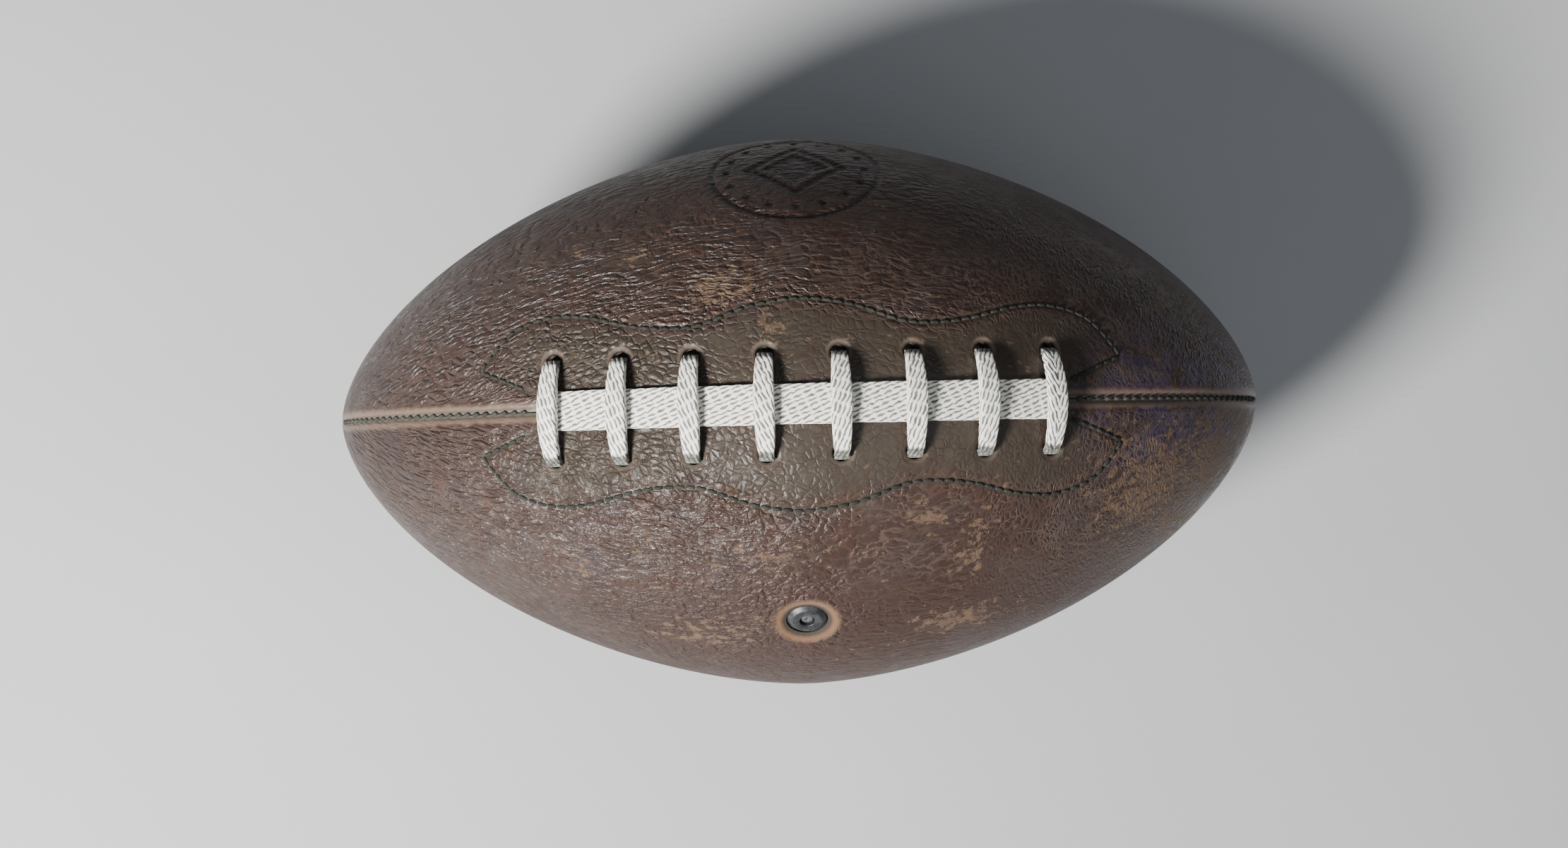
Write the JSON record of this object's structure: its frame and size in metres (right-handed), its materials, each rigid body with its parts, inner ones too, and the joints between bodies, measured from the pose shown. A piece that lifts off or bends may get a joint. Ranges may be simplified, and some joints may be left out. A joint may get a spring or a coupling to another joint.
{
  "type": "laced leather football",
  "caption": "Pointed leather ball of sewn panels with white cross lacing over the top seam, an inflation valve, linings and a bladder.",
  "frame": {"origin": "the ball's centre, on the long axis halfway between the tips", "axes": "+X along the long axis to one tip, +Z out through the middle of the lacing, so the valve lies on the -Y side of the lacing"},
  "size_m": [0.2846, 0.169, 0.1737],
  "materials": {
    "leather": "worn, creased, half-gloss brown grain leather",
    "lining": "plain woven cotton",
    "bladder_rubber": "smooth butyl",
    "valve_rubber": "dull moulded rubber",
    "plug_rubber": "dull moulded rubber",
    "patch_canvas": "coarse canvas",
    "facing_canvas": "coated canvas",
    "guard_felt": "pressed felt",
    "lace_braid": "braided white cotton",
    "seam_thread": "waxed dark grey-green thread",
    "facing_thread": "waxed dark grey-green thread"
  },
  "bodies": {
    "root": {"panel_laced_valve_side": "leather", "panel_laced_medallion_side": "leather", "panel_lower_valve_side": "leather", "panel_lower_medallion_side": "leather", "lining_laced_valve_side": "lining", "lining_laced_medallion_side": "lining", "lining_lower_valve_side": "lining", "lining_lower_medallion_side": "lining", "bladder": "bladder_rubber", "valve_housing": "valve_rubber", "valve_plug": "plug_rubber", "valve_patch": "patch_canvas", "lace_facing_valve_side": "facing_canvas", "lace_facing_medallion_side": "facing_canvas", "lace_guard": "guard_felt", "lace_band": "lace_braid", "lace_inner_runs": "lace_braid", "cross_lace_1": "lace_braid", "cross_lace_2": "lace_braid", "cross_lace_3": "lace_braid", "cross_lace_4": "lace_braid", "cross_lace_5": "lace_braid", "cross_lace_6": "lace_braid", "cross_lace_7": "lace_braid", "cross_lace_8": "lace_braid", "seam_thread_top_left": "seam_thread", "seam_thread_top_right": "seam_thread", "seam_thread_bottom": "seam_thread", "seam_thread_valve_side": "seam_thread", "seam_thread_medallion_side": "seam_thread", "facing_stitches_valve_side": "facing_thread", "facing_stitches_medallion_side": "facing_thread"}
  },
  "joints": []
}
